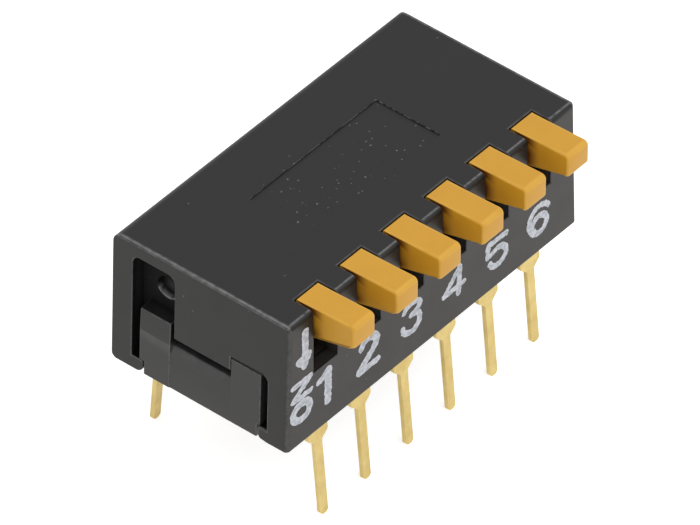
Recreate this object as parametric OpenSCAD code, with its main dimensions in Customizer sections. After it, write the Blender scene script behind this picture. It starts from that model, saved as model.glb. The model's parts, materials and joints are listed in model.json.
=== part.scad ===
// Piano-key DIP switch: a row of side-acting levers over a through-hole base.
//
// Frame: X runs along the row with pole 1 at -X, the key noses point to -Y, +Z is up.
// The origin is the centre of the pin grid on the board's surface, where the leg shoulders seat.
// The legs lean outwards as supplied; the pin grid is the one their shoulders stand on.

/* [Poles] */
// Number of poles in the row
poles = 6; // [4:1:12]
// Distance between neighbouring poles
pitch = 2.54; // [2.1:0.01:3.2]
// Distance between the front and the rear row of legs
row_spacing = 7.62; // [6.3:0.01:9.4]

/* [Cover] */
// Height of the moulded body, without the legs
body_height = 6.15; // [5.3:0.01:7.6]
// Body beyond the outermost pole's half pitch at each end, at its underside
end_margin = 1.05; // [1:0.01:1.5]
// How far each end wall leans in from the underside to the top
end_draft = 0.22; // [0:0.01:0.3]
// Thickness of the cover's two end walls at the top
end_wall = 0.56; // [0.45:0.01:0.6]
// Thickness of the cover's roof
roof = 0.55; // [0.4:0.01:0.6]
// Radius of the cover's top edge along the front
front_edge_r = 0.24; // [0.1:0.01:0.35]
// Radius of the cover's top edge along the rear
rear_edge_r = 0.45; // [0.1:0.01:0.5]
// Radius of the cover's top edges at the ends
end_edge_r = 0.1; // [0.04:0.01:0.25]
// Radius of the cover's upright edges
upright_edge_r = 0.08; // [0.05:0.01:0.25]
// Length of the shallow moulded panel in the roof
panel_length = 7.5; // [4:0.1:8]
// Width of the shallow moulded panel in the roof
panel_width = 3.2; // [1:0.05:4]
// Depth of the shallow moulded panel in the roof
panel_depth = 0.06; // [0.02:0.01:0.15]

/* [Cover latch] */
// Height of the end window's top below the cover's top
window_drop = 0.62; // [0.6:0.01:1]
// Width of the end window over the latch tab
window_width = 2.08; // [1.8:0.01:2.2]
// Width of the cover's rear leg beside the window
rear_leg = 1; // [0.8:0.01:1.1]
// Width of the cover's front leg
front_leg = 1.05; // [0.9:0.01:1.1]
// Height of the hook at the foot of each cover leg
hook_height = 0.6; // [0.4:0.01:0.8]
// Reach of the front leg's hook
front_hook = 0.42; // [0.38:0.01:0.5]
// Reach of the rear leg's hook
rear_hook = 0.56; // [0.4:0.01:0.6]

/* [Key] */
// Width of a key
key_width = 1.255; // [1:0.005:1.55]
// Reach of a key's nose beyond the cover's front face
nose_reach = 1.89; // [1.2:0.01:2.4]
// Height of the nose's front face
nose_height = 1.09; // [0.9:0.01:1.1]
// Tilt of a key's top at rest, nose upwards
key_tilt = 3.2; // [1:0.1:4]
// Angle that a key turns from off to on
key_throw = 14; // [11:0.5:15]
// Depth of the key slot in the roof, from the front face
slot_depth = 1; // [0.8:0.01:1.2]
// Height of the key pivot below the cover's top
pivot_drop = 1.97; // [1.8:0.01:2.1]
// Distance of the key pivot from the cover's rear face
pivot_back = 2.21; // [2.1:0.01:2.4]
// Radius of the round hub at the key's inner end
hub_r = 1.04; // [0.8:0.01:1.06]
// Radius of the key's trunnions
trunnion_r = 0.4; // [0.3:0.01:0.5]

/* [Terminals] */
// Thickness of the terminal strip
terminal_t = 0.22; // [0.16:0.01:0.28]
// Width of the terminal at its shoulder and in the base
shoulder_width = 1.16; // [1:0.01:1.2]
// Width of the leg that goes through the board
leg_width = 0.42; // [0.35:0.01:0.6]
// Length of the leg below the board's surface
leg_length = 3.6; // [2.8:0.1:4.2]
// Height of the body's underside above the board
standoff = 1.05; // [0.85:0.01:1.3]
// Distance of a leg's middle from the body's face
leg_inset = 0.55; // [0.45:0.01:0.65]
// Outward lean of the legs below the body
leg_lean = 5; // [0:0.5:6]

/* [Moving contact] */
// Thickness of the moving contact's spring strip
contact_t = 0.12; // [0.08:0.01:0.15]
// Width of the moving contact
contact_width = 0.9; // [0.7:0.01:1]
// Radius of the peg that holds the moving contact to its key
peg_r = 0.2; // [0.15:0.01:0.24]

/* [Base] */
// Height of the cavity floor above the body's underside
floor_height = 1.6; // [1.4:0.01:1.7]
// Gap between the front and the rear contact pads
pad_gap = 1; // [0.8:0.01:1.1]
// Thickness of the base's front sill and rear wall
sill = 0.4; // [0.3:0.01:0.45]
// Width of the latch tab on each end of the base
tab_width = 1.5; // [1.4:0.01:1.65]
// Height of the latch tab on each end of the base
tab_height = 3.14; // [2.8:0.01:3.4]
// Height of the middle of the end plate
plate_height = 2.06; // [1.9:0.01:2.3]
// Height of the front part of the end plate
plate_front_height = 3.12; // [2.8:0.01:3.4]
// Width of the front part of the end plate
plate_front_width = 1.45; // [1:0.01:1.6]

/* [Clearances] */
// Gap between the cover and the base
fit_gap = 0.03; // [0.02:0.01:0.05]
// Gap over the front part of the end plate
plate_gap = 0.1; // [0.05:0.01:0.12]
// Gap on each side of a key in its cavity
key_gap = 0.1225; // [0.1:0.0025:0.15]
// Gap on each side of a key in the cover's slot
slot_gap = 0.075; // [0.05:0.005:0.1]
// Gap around a trunnion in its bearing
bearing_gap = 0.04; // [0.02:0.01:0.08]
// Gap around a terminal in the cover's pocket
pocket_gap = 0.05; // [0.03:0.01:0.08]
// Gap between a pressed key and the bottom of its slot
stop_gap = 0.15; // [0.1:0.01:0.25]

/* [Hidden] */
$fn = 48;

eps = 0.01;        // overlap that joins two shapes of one piece
past = 1;          // how far a cut runs past the face that it opens

// Body
body_length = poles * pitch + 2 * end_margin;
body_depth = row_spacing + 2 * leg_inset;
front = -body_depth / 2;
rear = body_depth / 2;
bottom = standoff;
top = bottom + body_height;
roof_under = top - roof;
floor_z = bottom + floor_height;
end_face = body_length / 2;             // at the body's underside
end_top = end_face - end_draft;
end_inner = end_top - end_wall;         // the end walls stand upright on the inside

// Front and rear walls: the terminals run down between them and the base
base_front = front + leg_inset + terminal_t / 2;
base_rear = -base_front;
wall = base_front - fit_gap - front;
block_half = end_inner - fit_gap;

// Key, cavity and slot
cavity_width = key_width + 2 * key_gap;
slot_width = key_width + 2 * slot_gap;
web = 0.34;        // plastic left between the bearings of two neighbours
bearing_depth = (pitch - cavity_width - web) / 2;
pivot_y = rear - pivot_back;
pivot_z = top - pivot_drop;
pressed_z = pivot_z - hub_r;          // the key's underside when it is pressed, level
slot_bottom = pressed_z - stop_gap;
arm_roof_gap = 0.12;
shoulder_gap = 0.06;                  // gap between the key's step and the rear of its slot
key_step_y = front + slot_depth - shoulder_gap;
key_top_gap = 0.02;                   // how far the key's top lies below the cover's at the step
sill_top = slot_bottom - 0.06;
wall_top = roof_under - 0.08;

// Detent: a rib on each side of the key clicks past a rib on the cavity's wall
detent_r = 0.3;
detent_length = 0.5;
key_rib = 0.08;
wall_rib = 0.07;
detent_y = base_front + sill + 0.6 - pivot_y;
detent_z = 0.7;
detent_pressed = turned([detent_y, detent_z], key_throw);
detent_mid_z = pivot_z + (detent_z + detent_pressed[1]) / 2;

// Moving contact, laid out with the key pressed
foot_front = base_front + sill + 1.25;
foot_rear = pivot_y - 1.6;
foot_mid = (foot_front + foot_rear) / 2;
contact_leg = [0.2, 1];               // direction of a leg from its foot, in and up
toe = [0.28, 0.2];                    // the foot's upturned toe, out and up
toe_bend = 0.16;
contact_bend = 0.2;
finger_slit = 0.16;
head_r = 0.32;
head_t = 0.12;
peg_gap = 0.02;

// Terminals
terminal_bend = 0.26;                 // radius of the strip's middle
shoulder_taper = 0.2;                 // drop of the shoulder's sloping underside
lean_start = bottom - 0.3;
tip_chamfer = 0.1;
tip_z = -leg_length;

// Cover latch
window_rear = rear - rear_leg;
window_front = window_rear - window_width;
window_top = top - window_drop;
tab_rear = window_rear - 0.4;
tab_front = tab_rear - tab_width;
plate_front = front + front_leg + 0.33;
plate_step = plate_front + plate_front_width;
plate_inset = 0.03;                   // the plate lies this far inside the cover's end face
tab_bevel = [0.04, 1];                // in and down
plate_bevel = [0.16, 0.38];           // in and down
groove = 0.5;                         // opening over the middle of the plate
bearing_mark_r = 0.5;                 // round pocket outside the outermost bearings
bearing_mark_depth = 0.3;

function pole_x(k) = (k - (poles + 1) / 2) * pitch;

// Place of the leaning outer face of the +X end wall at height z
function end_at(z) = end_face - end_draft * (z - bottom) / body_height;

function unit(v) = v / norm(v);
function flat(p) = [p[0], p[1]];
function turned(p, a) = [p[0] * cos(a) - p[1] * sin(a), p[0] * sin(a) + p[1] * cos(a)];

// An outline's corner at p, between a and b, as an arc of radius p[2]
function corner(a, p, b, n) =
    let (
        u = unit(flat(a) - flat(p)),
        w = unit(flat(b) - flat(p)),
        half = acos(u * w) / 2,
        from = flat(p) + p[2] / tan(half) * u,
        to = flat(p) + p[2] / tan(half) * w,
        centre = flat(p) + p[2] / sin(half) * unit(u + w),
        first = atan2(from[1] - centre[1], from[0] - centre[0]),
        last = atan2(to[1] - centre[1], to[0] - centre[0]),
        sweep = (last - first + 540) % 360 - 180
    )
    [for (i = [0:n]) centre + p[2] * [cos(first + sweep * i / n), sin(first + sweep * i / n)]];

// A closed outline of [x, y, radius] points, each corner rounded to its radius
function rounded(points, n = 6) =
    let (count = len(points))
    [for (i = [0:count - 1])
        each points[i][2] == 0
            ? [flat(points[i])]
            : corner(points[(i + count - 1) % count], points[i], points[(i + 1) % count], n)];

function left_of(v) = [-v[1], v[0]];

// The point of a path's i-th vertex, moved sideways by d with the bend's radius changed to match
function beside(path, i, d) =
    let (
        last = len(path) - 1,
        into = unit(flat(path[max(i, 1)]) - flat(path[max(i, 1) - 1])),
        out = unit(flat(path[min(i, last - 1) + 1]) - flat(path[min(i, last - 1)])),
        normal = unit(left_of(into) + left_of(out)),
        place = flat(path[i]) + normal * d / (normal * left_of(into)),
        bend = left_of(into) * out
    )
    [place[0], place[1], path[i][2] == 0 ? 0 : path[i][2] - sign(bend) * d];

// Outline of a strip of thickness t bent along a path of [y, z, radius] points
function strip_outline(path, t) =
    let (last = len(path) - 1)
    concat(
        [for (i = [0:last]) beside(path, i, t / 2)],
        [for (i = [last:-1:0]) beside(path, i, -t / 2)]
    );

// Extrudes a (y, z) outline along X, or an (x, z) outline along Y, about the middle
module along_x(length) {
    rotate([90, 0, 90]) linear_extrude(height = length, center = true) children();
}

module along_y(length) {
    rotate([90, 0, 0]) linear_extrude(height = length, center = true) children();
}

// A box between two opposite corners
module block(low, high) {
    translate(low) cube(high - low);
}

module rod_x(r, length) {
    rotate([0, 90, 0]) cylinder(r = r, h = length, center = true);
}

module rod_y(r, length) {
    rotate([90, 0, 0]) cylinder(r = r, h = length, center = true);
}

// ---- cover ----

module cover_outside() {
    intersection() {
        along_x(body_length) polygon(rounded([
            [front, bottom, 0],
            [rear, bottom, 0],
            [rear, top, rear_edge_r],
            [front, top, front_edge_r]
        ]));
        along_y(body_depth + 2 * past) polygon(rounded([
            [-end_face, bottom, 0],
            [end_face, bottom, 0],
            [end_top, top, end_edge_r],
            [-end_top, top, end_edge_r]
        ]));
        leaning_end();
        mirror([1, 0, 0]) leaning_end();
    }
}

// Everything behind the leaning +X face of the body, with its two upright edges rounded
module leaning_end() {
    lean = atan2(end_draft, body_height);
    translate([end_face, 0, bottom]) rotate([0, -lean, 0]) translate([0, 0, -past]) {
        linear_extrude(height = body_height + 2 * past) polygon(rounded([
            [-body_length - 2 * past, front, 0],
            [0, front, upright_edge_r],
            [0, rear, upright_edge_r],
            [-body_length - 2 * past, rear, 0]
        ]));
    }
}

// Space inside the cover, open below
module cover_inside() {
    block(
        [-end_inner, front + wall, bottom - past],
        [end_inner, rear - wall, roof_under]
    );
}

// Slot in the front wall and the roof that a key's nose stands in
module key_slot() {
    block(
        [-slot_width / 2, front - past, slot_bottom],
        [slot_width / 2, front + slot_depth, top + past]
    );
}

// Pockets inside the front and the rear wall that the terminals run down through
module terminal_pockets() {
    half = shoulder_width / 2 + 2 * pocket_gap;
    outer = row_spacing / 2 + terminal_t / 2 + pocket_gap;
    block([-half, -outer, bottom - past], [half, outer, floor_z + pocket_gap]);
}

// Outline of the opening in each end wall: the window, and the notch that the base's end plate fills
function end_opening() = rounded([
    [front + front_leg + front_hook, bottom + hook_height, 0],
    [front + front_leg, bottom + hook_height, 0],
    [front + front_leg, bottom + plate_front_height + plate_gap, 0.3],
    [plate_step + fit_gap, bottom + plate_front_height + plate_gap, 0],
    [plate_step + fit_gap, bottom + plate_height + groove, 0],
    [window_front, bottom + plate_height + groove, 0],
    [window_front, window_top, 0.36],
    [window_rear, window_top, 0.34],
    [window_rear, bottom + hook_height, 0],
    [window_rear - rear_hook, bottom + hook_height, 0],
    [window_rear - rear_hook, bottom, 0.3],
    [rear - 0.1, bottom, 0],
    [rear - 0.1, bottom - past, 0],
    [front + 0.1, bottom - past, 0],
    [front + 0.1, bottom, 0],
    [front + front_leg + front_hook, bottom, 0.2]
]);

// Ribs under the roof that reach down into a key's bearings and hold its trunnions
module keeper_ribs() {
    for (side = [-1, 1]) {
        middle = side * (cavity_width + bearing_depth) / 2;
        half = bearing_depth / 2 - fit_gap;
        block(
            [middle - half, pivot_y - trunnion_r + fit_gap, pivot_z + trunnion_r + 2 * fit_gap],
            [middle + half, pivot_y + trunnion_r - fit_gap, roof_under + eps]
        );
    }
}

module cover() color([0.13, 0.13, 0.13]) {
    difference() {
        cover_outside();
        cover_inside();
        for (k = [1:poles]) translate([pole_x(k), 0, 0]) {
            key_slot();
            terminal_pockets();
        }
        for (side = [-1, 1]) translate([side * end_face, 0, 0]) {
            along_x(2 * (end_face - end_inner + eps)) polygon(end_opening());
        }
        translate([0, 0, top]) cube([panel_length, panel_width, 2 * panel_depth], center = true);
    }
    for (k = [1:poles]) translate([pole_x(k), 0, 0]) keeper_ribs();
}

// ---- base ----

// Cavity of one pole, open above
module cavity() {
    block(
        [-cavity_width / 2, base_front + sill, floor_z],
        [cavity_width / 2, base_rear - sill, top]
    );
}

// The front sill is low, so that the key's arm passes over it
module sill_opening() {
    block(
        [-cavity_width / 2, base_front - past, sill_top],
        [cavity_width / 2, base_front + sill + eps, top]
    );
}

// Open-topped bearings for one key's trunnions
module bearings() {
    r = trunnion_r + bearing_gap;
    reach = cavity_width + 2 * bearing_depth;
    translate([0, pivot_y, pivot_z]) rod_x(r, reach);
    block([-reach / 2, pivot_y - r, pivot_z], [reach / 2, pivot_y + r, top]);
}

// Ribs on the cavity's walls that the key clicks past
module wall_ribs() {
    for (side = [-1, 1]) {
        x = side * (cavity_width / 2 + detent_r - wall_rib);
        translate([x, pivot_y + detent_y, detent_mid_z]) rod_y(detent_r, detent_length);
    }
}

// Part of the end plate between two places in Y: it leans with the end wall, inset behind its face,
// and its outer top edge is sloped
module plate_part(from, to, inset, height, bevel) {
    bevel_z = bottom + height - bevel[1];
    translate([0, (from + to) / 2, 0]) along_y(to - from) polygon([
        [block_half - eps, bottom],
        [end_face - inset, bottom],
        [end_at(bevel_z) - inset, bevel_z],
        [end_at(bottom + height) - inset - bevel[0], bottom + height],
        [block_half - eps, bottom + height]
    ]);
}

// End plate at +X: latch tab, low middle with a sloped edge, taller front part
module end_plate() {
    difference() {
        union() {
            plate_part(tab_front, tab_rear, 0, tab_height, tab_bevel);
            plate_part(plate_step - eps, tab_front + eps, plate_inset, plate_height, plate_bevel);
            plate_part(plate_front, plate_step, plate_inset, plate_front_height, [0, 0.3]);
        }
        // room for the hooks of the cover's legs
        block(
            [0, front, bottom - past],
            [end_face + past, front + front_leg + front_hook + 2 * fit_gap, bottom + hook_height + fit_gap]
        );
        block(
            [0, window_rear - rear_hook - 2 * fit_gap, bottom - past],
            [end_face + past, rear, bottom + hook_height + fit_gap]
        );
    }
}

module base() color([0.15, 0.15, 0.15]) {
    difference() {
        block([-block_half, base_front, bottom], [block_half, base_rear, wall_top]);
        for (k = [1:poles]) translate([pole_x(k), 0, 0]) {
            cavity();
            sill_opening();
            bearings();
            terminal_front_shape();
            terminal_rear_shape();
        }
        for (side = [-1, 1]) translate([side * block_half, pivot_y, pivot_z]) {
            rod_x(bearing_mark_r, 2 * bearing_mark_depth);
        }
    }
    for (k = [1:poles]) translate([pole_x(k), 0, 0]) wall_ribs();
    end_plate();
    mirror([1, 0, 0]) end_plate();
}

// ---- terminals ----

// Blank seen from the front: shoulder, sloping underside, narrow leg with a chamfered tip
function blank_half() = [
    [shoulder_width / 2, floor_z + past, 0],
    [shoulder_width / 2, shoulder_taper, 0.16],
    [leg_width / 2, -shoulder_taper / 2, 0.12],
    [leg_width / 2, tip_z + tip_chamfer, 0.05],
    [leg_width / 2 - tip_chamfer, tip_z, 0.05]
];

function blank() =
    let (half = blank_half(), last = len(half) - 1)
    rounded(concat(half, [for (i = [last:-1:0]) [-half[i][0], half[i][1], half[i][2]]]));

// Terminal of the front row at x = 0, whose pad in the base ends at pad_end
module terminal(pad_end) {
    lean = (lean_start - tip_z + past) * tan(leg_lean);
    leg_y = -row_spacing / 2;
    intersection() {
        along_x(shoulder_width + past) polygon(rounded(strip_outline([
            [pad_end, floor_z - terminal_t / 2, 0],
            [leg_y, floor_z - terminal_t / 2, terminal_bend],
            [leg_y, lean_start, 0.8],
            [leg_y - lean, tip_z - past, 0]
        ], terminal_t)));
        translate([0, (front + pad_end) / 2, 0]) along_y(pad_end - front + 2 * past) polygon(blank());
    }
}

module terminal_front_shape() {
    terminal(foot_mid - pad_gap / 2);
}

module terminal_rear_shape() {
    mirror([0, 1, 0]) terminal(-foot_mid - pad_gap / 2);
}

module terminal_front(k) color([0.85, 0.75, 0.48]) translate([pole_x(k), 0, 0]) terminal_front_shape();

module terminal_rear(k) color([0.85, 0.75, 0.48]) translate([pole_x(k), 0, 0]) terminal_rear_shape();

// ---- keys ----

// Side outline of a key at rest, about its pivot: arm, step, paddle and nose
function key_outline() =
    let (
        under = turned([0, -hub_r], -key_throw),
        step = [key_step_y - pivot_y, top - key_top_gap - pivot_z],
        nose_y = front - nose_reach - pivot_y,
        nose_top = step[1] + (step[0] - nose_y) * tan(key_tilt),
        heel = 0.12
    )
    rounded([
        [0, hub_r, 0],
        [step[0], roof_under - arm_roof_gap - pivot_z, 0],
        [step[0], step[1], 0.04],
        [nose_y, nose_top, 0.22],
        [nose_y, nose_top - nose_height + heel / 2, 0.14],
        [nose_y + heel, under[1] - (nose_y + heel - under[0]) * tan(key_throw), 0.12],
        [under[0], under[1], 0]
    ]);

module key(k) color([0.86, 0.64, 0.27]) translate([pole_x(k), pivot_y, pivot_z]) {
    along_x(key_width) polygon(key_outline());
    rod_x(hub_r, key_width);
    rod_x(trunnion_r, cavity_width + 2 * bearing_depth - 2 * bearing_gap);
    for (side = [-1, 1]) {
        x = side * (key_width / 2 - detent_r + key_rib);
        translate([x, detent_y, detent_z]) rod_y(detent_r, detent_length);
    }
    rotate([-key_throw, 0, 0]) translate([0, foot_mid - pivot_y, -hub_r]) {
        translate([0, 0, -contact_t - eps]) cylinder(r = peg_r, h = contact_t + 2 * eps);
        translate([0, 0, -contact_t - head_t]) cylinder(r = head_r, h = head_t);
    }
}

// ---- moving contacts ----

// How far a foot's rounded bend stands above the corner of its path
function foot_rise() =
    let (
        out = unit([-toe[0], toe[1]]),
        up = unit(contact_leg),
        half = acos(out * up) / 2
    )
    toe_bend / sin(half) * unit(out + up)[1] - toe_bend;

// The bridge is laid out with its feet on the pads, then swung up with its key to rest
module contact(k) color([0.80, 0.66, 0.40]) {
    level = pressed_z - contact_t / 2;
    foot = floor_z + contact_t / 2 - foot_rise();
    slope = (level - foot) * contact_leg[0];
    place = [pole_x(k), pivot_y, pivot_z];
    translate(place) rotate([-key_throw, 0, 0]) translate([0, -pivot_y, -pivot_z]) {
        difference() {
            along_x(contact_width) polygon(rounded(strip_outline([
                [foot_front - toe[0], foot + toe[1], 0],
                [foot_front, foot, toe_bend],
                [foot_front + slope, level, contact_bend],
                [foot_rear - slope, level, contact_bend],
                [foot_rear, foot, toe_bend],
                [foot_rear + toe[0], foot + toe[1], 0]
            ], contact_t)));
            translate([0, foot_mid, level]) cylinder(r = peg_r + peg_gap, h = 4 * contact_t, center = true);
            // slits that split each foot into two fingers
            block(
                [-finger_slit / 2, foot_front - past, floor_z - past],
                [finger_slit / 2, foot_front + slope, level - contact_bend]
            );
            block(
                [-finger_slit / 2, foot_rear - slope, floor_z - past],
                [finger_slit / 2, foot_rear + past, level - contact_bend]
            );
        }
    }
}

cover();
base();
for (k = [1:poles]) {
    key(k);
    contact(k);
    terminal_front(k);
    terminal_rear(k);
}
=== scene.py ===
# %% [markdown]
# # Piano-key DIP switch
# A DIP switch is a row of tiny switches in a block that plugs into a circuit board. This one has
# six amber keys that stick out of the block's front like the keys of a piano. Pressing a nose down
# turns that pole on.
#
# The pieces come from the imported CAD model, which has their true sizes but razor edges and no
# finish. This lesson gives every piece its moulded or stamped edges, its material and its printed
# legends. Everything stays where the CAD model has it, in metres, with +Z up and the key noses
# towards -Y.

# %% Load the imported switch
import json
import math

import bmesh
import bpy
import numpy as np
from mathutils import Matrix, Vector


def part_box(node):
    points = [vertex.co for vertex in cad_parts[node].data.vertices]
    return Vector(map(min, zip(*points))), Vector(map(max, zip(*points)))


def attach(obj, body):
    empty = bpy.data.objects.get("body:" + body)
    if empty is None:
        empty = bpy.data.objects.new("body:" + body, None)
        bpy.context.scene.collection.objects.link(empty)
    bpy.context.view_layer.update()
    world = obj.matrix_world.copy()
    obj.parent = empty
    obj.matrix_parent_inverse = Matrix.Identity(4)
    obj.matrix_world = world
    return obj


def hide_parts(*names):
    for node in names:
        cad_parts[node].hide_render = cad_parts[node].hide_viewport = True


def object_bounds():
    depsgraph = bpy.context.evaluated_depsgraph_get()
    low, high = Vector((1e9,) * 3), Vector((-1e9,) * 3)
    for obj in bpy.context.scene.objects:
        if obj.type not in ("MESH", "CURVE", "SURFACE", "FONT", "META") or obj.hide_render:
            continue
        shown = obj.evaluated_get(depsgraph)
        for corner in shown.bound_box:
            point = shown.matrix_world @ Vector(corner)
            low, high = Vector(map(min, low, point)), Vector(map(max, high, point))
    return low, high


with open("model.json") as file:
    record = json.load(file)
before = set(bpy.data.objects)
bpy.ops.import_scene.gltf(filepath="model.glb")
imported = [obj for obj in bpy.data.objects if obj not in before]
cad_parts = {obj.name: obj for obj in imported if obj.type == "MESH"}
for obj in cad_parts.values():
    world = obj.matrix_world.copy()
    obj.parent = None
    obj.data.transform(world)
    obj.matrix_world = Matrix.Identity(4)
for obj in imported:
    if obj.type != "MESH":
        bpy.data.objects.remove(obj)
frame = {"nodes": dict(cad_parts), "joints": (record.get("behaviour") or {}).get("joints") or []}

cad_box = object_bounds()
scene = bpy.context.scene
MM = 0.001               # the object's own sizes below are in millimetres
POLES = sum(name.startswith("key_") for name in frame["nodes"])
cover_low, cover_high = (np.array(corner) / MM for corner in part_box("cover"))
FRONT_Y, REAR_Y = cover_low[1], cover_high[1]
BOTTOM_Z, TOP_Z = cover_low[2], cover_high[2]
END_X = cover_high[0]    # the foot of an end wall
END_LEAN = 0.22          # how much further in an end wall's top is than its foot
PANEL = (3.75, 1.6)      # half length and half width of the shallow panel in the roof
PIVOT_Y, PIVOT_Z = (place / MM for place in frame["joints"][0]["pos_m"][1:])
print("poles", POLES, "cover from", cover_low.round(2), "to", cover_high.round(2), "mm")

# %% [markdown]
# ## Camera
# A switch this small is seen from far away through a long lens, so that its parallel edges stay
# nearly parallel. The camera is placed by its bearing round the object, its height above the
# horizon and its distance from a point inside the block. A camera looks along its own -Z, so its
# rotation is built from three directions: right, up, and back towards the viewer.

# %% Camera
CAMERA_BEARING = math.radians(-50.27)
CAMERA_HEIGHT = math.radians(41.56)
CAMERA_ROLL = math.radians(0.04)
CAMERA_DISTANCE = 458.5 * MM
CAMERA_TARGET = Vector((-0.55, -0.697, 3.112)) * MM
LENS = 620.0             # focal length in millimetres, for the camera's own 36 mm wide film

back = Vector((
    math.sin(CAMERA_BEARING) * math.cos(CAMERA_HEIGHT),
    -math.cos(CAMERA_BEARING) * math.cos(CAMERA_HEIGHT),
    math.sin(CAMERA_HEIGHT),
))
level = Vector((0, 0, 1)).cross(back).normalized()
right = Matrix.Rotation(CAMERA_ROLL, 3, back) @ level
up = back.cross(right)

camera_data = bpy.data.cameras.new("camera")
camera_data.lens = LENS
camera_data.clip_start = 0.05
camera_data.clip_end = 5
camera = bpy.data.objects.new("camera", camera_data)
turned = Matrix((right, up, back)).transposed().to_4x4()
camera.matrix_world = Matrix.Translation(CAMERA_TARGET + CAMERA_DISTANCE * back) @ turned
scene.collection.objects.link(camera)
scene.camera = camera
print("camera at", [round(c / MM, 1) for c in camera.location], "mm")

# %% [markdown]
# ## Nodes and node groups
# A material is a small graph of nodes. Writing each node out takes many lines, so `add` makes a
# node, sets its settings and fills its inputs in one call: an input that is given a socket is
# linked to it, and any other input gets a plain value.

# %% Helpers that build node graphs
def add(tree, kind, inputs=None, **settings):
    """A new shader node. inputs maps an input's name or number to a value or to a socket."""
    node = tree.nodes.new("ShaderNode" + kind)
    for name, value in settings.items():
        setattr(node, name, value)
    for key, value in (inputs or {}).items():
        if isinstance(value, bpy.types.NodeSocket):
            tree.links.new(value, node.inputs[key])
        else:
            node.inputs[key].default_value = value
    return node


def calc(tree, operation, a, b=0.0, clamp=False):
    """The result of one Math node: a combined with b."""
    return add(tree, "Math", {0: a, 1: b}, operation=operation, use_clamp=clamp).outputs[0]


def ramp(tree, value, low, high, out_low=0.0, out_high=1.0):
    """A smooth rise from out_low to out_high while value goes from low to high."""
    places = {"Value": value, "From Min": low, "From Max": high, "To Min": out_low, "To Max": out_high}
    return add(tree, "MapRange", places, interpolation_type="SMOOTHSTEP").outputs["Result"]


def where_all(tree, *masks):
    """1 where all the masks are 1: their product."""
    product = masks[0]
    for mask in masks[1:]:
        product = calc(tree, "MULTIPLY", product, mask)
    return product


def blend_colours(tree, factor, a, b, blend_type="MIX"):
    """Colour a turning into colour b as factor goes from 0 to 1."""
    node = add(tree, "Mix", {0: factor, 6: a, 7: b}, data_type="RGBA", blend_type=blend_type)
    return node.outputs[2]


def millimetres(tree, place):
    """The three coordinates of a place, as values in millimetres."""
    split = add(tree, "SeparateXYZ", {0: place}).outputs
    return [calc(tree, "DIVIDE", split[axis], MM) for axis in range(3)]


def noise(tree, place, size, detail=2.0):
    """Soft random values from 0 to 1, with blobs of about the given size in metres."""
    return add(tree, "TexNoise", {"Vector": place, "Scale": 1 / size, "Detail": detail}).outputs[0]


def new_group(name, inputs, outputs):
    """A node group with the named float inputs (name: default), a Place vector input and outputs."""
    tree = bpy.data.node_groups.new(name, "ShaderNodeTree")
    tree.interface.new_socket("Place", in_out="INPUT", socket_type="NodeSocketVector")
    for key, default in inputs.items():
        socket = tree.interface.new_socket(key, in_out="INPUT", socket_type="NodeSocketFloat")
        socket.default_value = default
    for key in outputs:
        tree.interface.new_socket(key, in_out="OUTPUT", socket_type="NodeSocketFloat")
    start = tree.nodes.new("NodeGroupInput")
    end = tree.nodes.new("NodeGroupOutput")
    return tree, start.outputs, end.inputs


def use_group(tree, group, **inputs):
    """A node that runs the group. An input's name is written with _ for each space."""
    node = add(tree, "Group", node_tree=group)
    for key, value in inputs.items():
        socket = node.inputs[key.replace("_", " ")]
        if isinstance(value, bpy.types.NodeSocket):
            tree.links.new(value, socket)
        else:
            socket.default_value = value
    return node.outputs


def grey(value):
    """An RGBA grey from an 8-bit screen value."""
    return screen_colour(value, value, value)


def screen_colour(red, green, blue):
    """A linear RGBA colour from 8-bit screen values, by the sRGB curve."""
    levels = np.array([red, green, blue]) / 255
    linear = np.where(levels <= 0.04045, levels / 12.92, ((levels + 0.055) / 1.055) ** 2.4)
    return (*linear.tolist(), 1.0)


print("helpers ready")

# %% [markdown]
# ## Shared surface effects
# Five effects turn up on several materials, so each is a group that is built once:
#
# - *grain*: a moulding tool is spark-eroded, and its fine pebbled skin is copied onto the plastic.
# - *mottle*: plastic and plating are never perfectly even, so broad patches are a little darker.
# - *dust*: a few bright specks lie on the block, in clusters.
# - *edge wear and sheen*: rounded edges are painted paler, partly as rubbed wear and partly as
#   painted highlight, the light a rounding catches, and not evenly along their length. The edge
#   itself is read from a value stored in the mesh, which is 1 on a rounding and 0 on the flats.
# - *pale slots*: the slots that the keys stand in are painted paler than the skin around, as painted light
#   that lifts the shade inside them.
#
# A group that gives a mask leaves the colour to the material that uses it.

# %% Grain and mottle
grain_group, start, end = new_group("grain", {"Size": 0.05 * MM}, ["Height"])
fine = add(grain_group, "TexNoise", {
    "Vector": start["Place"], "Scale": calc(grain_group, "DIVIDE", 1.0, start["Size"]),
    "Detail": 2.0, "Roughness": 0.55,
})
grain_group.links.new(fine.outputs[0], end["Height"])

mottle_group, start, end = new_group("mottle", {"Size": 3 * MM, "Strength": 0.2}, ["Factor"])
patches = add(mottle_group, "TexNoise", {
    "Vector": start["Place"], "Scale": calc(mottle_group, "DIVIDE", 1.0, start["Size"]),
    "Detail": 3.0, "Roughness": 0.6,
})
either_way = calc(mottle_group, "SUBTRACT", patches.outputs[0], 0.5)
swing = calc(mottle_group, "MULTIPLY", either_way, start["Strength"])
mottle_group.links.new(calc(mottle_group, "ADD", swing, 1.0), end["Factor"])
print("made", grain_group.name, "and", mottle_group.name)

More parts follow.
